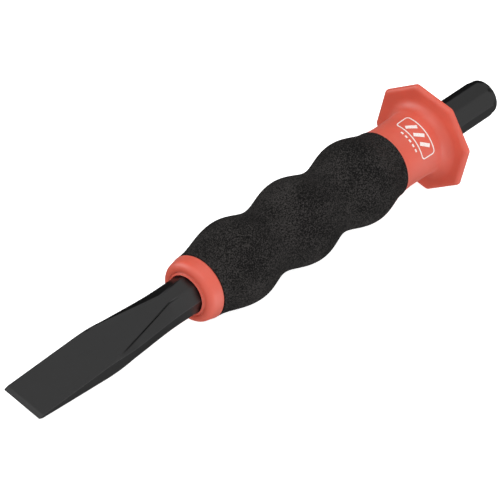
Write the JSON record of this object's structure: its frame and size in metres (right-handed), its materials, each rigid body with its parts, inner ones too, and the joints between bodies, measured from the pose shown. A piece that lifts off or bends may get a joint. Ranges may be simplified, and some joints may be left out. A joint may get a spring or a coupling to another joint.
{
  "type": "cold chisel",
  "caption": "Flat cold chisel on an octagonal steel bar, with an octagonal hand guard, a foam grip with finger swells and an end collar.",
  "frame": {"origin": "centre of the striking face", "axes": "+X along the bar to the cutting edge, +Y along the cutting edge, +Z the outward normal of the blade's upper side and of the bar flat in line with it"},
  "size_m": [0.3, 0.0494, 0.0494],
  "materials": {
    "black_steel": "satin black coating over forged steel",
    "red_plastic": "soft satin moulded plastic, slightly translucent",
    "black_foam": "matt closed-cell foam with a fine speckled grain"
  },
  "bodies": {
    "root": {"chisel_bar": "black_steel", "guard_sleeve": "red_plastic", "foam_sleeve": "black_foam", "end_collar": "red_plastic"}
  },
  "joints": []
}
